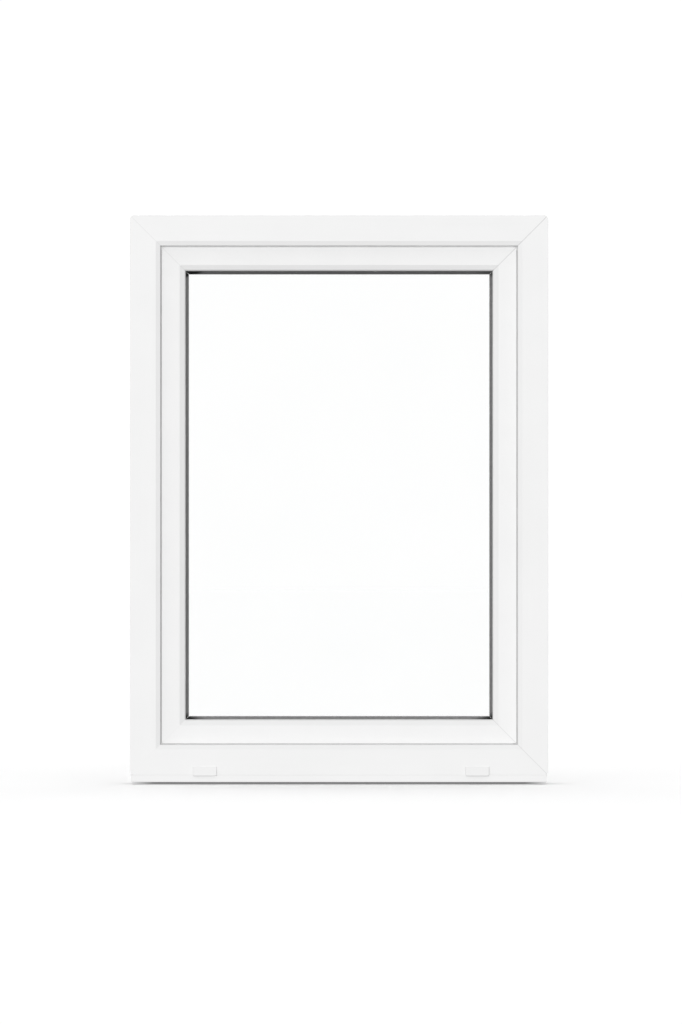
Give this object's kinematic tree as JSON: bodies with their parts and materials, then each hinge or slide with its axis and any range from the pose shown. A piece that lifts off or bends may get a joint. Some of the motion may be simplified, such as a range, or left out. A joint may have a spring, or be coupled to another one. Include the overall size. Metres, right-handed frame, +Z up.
{
  "type": "tilt and turn window",
  "caption": "White plastic tilt and turn window: welded frame, opening sash with double glazing, room-side lever handle and hinges, drain caps and a base profile under the sill.",
  "frame": {"origin": "centre of the base profile's length on its underside, at the middle of the frame's depth", "axes": "+Z up, +Y from the outside towards the room, +X to the right as seen from outside"},
  "size_m": [0.9, 0.1438, 1.225],
  "materials": {
    "white_frame": "smooth white extruded PVC-U",
    "white_sash": "smooth white extruded PVC-U",
    "white_bead": "smooth white extruded PVC-U",
    "white_base": "white extruded PVC-U",
    "white_cap": "white moulded plastic",
    "grey_gasket": "light grey weather seal",
    "black_gasket": "black glazing seal",
    "clear_glass": "clear float glass",
    "edge_seal": "black edge sealant",
    "spacer_metal": "mill finish spacer bar",
    "setting_block": "moulded packing plastic",
    "white_handle": "white powder coat",
    "white_hinge": "white powder coat",
    "hinge_steel": "zinc plated steel"
  },
  "bodies": {
    "root": {"frame_sill": "white_frame", "frame_head": "white_frame", "frame_left_jamb": "white_frame", "frame_right_jamb": "white_frame", "frame_stop_gasket": "grey_gasket", "base_profile": "white_base", "left_drain_cap": "white_cap", "right_drain_cap": "white_cap", "sash_bottom_rail": "white_sash", "sash_top_rail": "white_sash", "sash_left_stile": "white_sash", "sash_right_stile": "white_sash", "sash_overlap_gasket": "grey_gasket", "outer_glazing_gasket": "black_gasket", "inner_glazing_gasket": "black_gasket", "bottom_glazing_bead": "white_bead", "top_glazing_bead": "white_bead", "left_glazing_bead": "white_bead", "right_glazing_bead": "white_bead", "outer_pane": "clear_glass", "inner_pane": "clear_glass", "glass_edge_seal": "edge_seal", "glass_spacer": "spacer_metal", "setting_blocks": "setting_block", "handle_rosette": "white_handle", "handle_lever": "white_handle", "lower_hinge_bearing": "white_hinge", "lower_hinge_leaf": "white_hinge", "lower_hinge_pin": "hinge_steel", "upper_hinge_bearing": "white_hinge", "upper_hinge_leaf": "white_hinge", "upper_hinge_pin": "hinge_steel"}
  },
  "joints": []
}
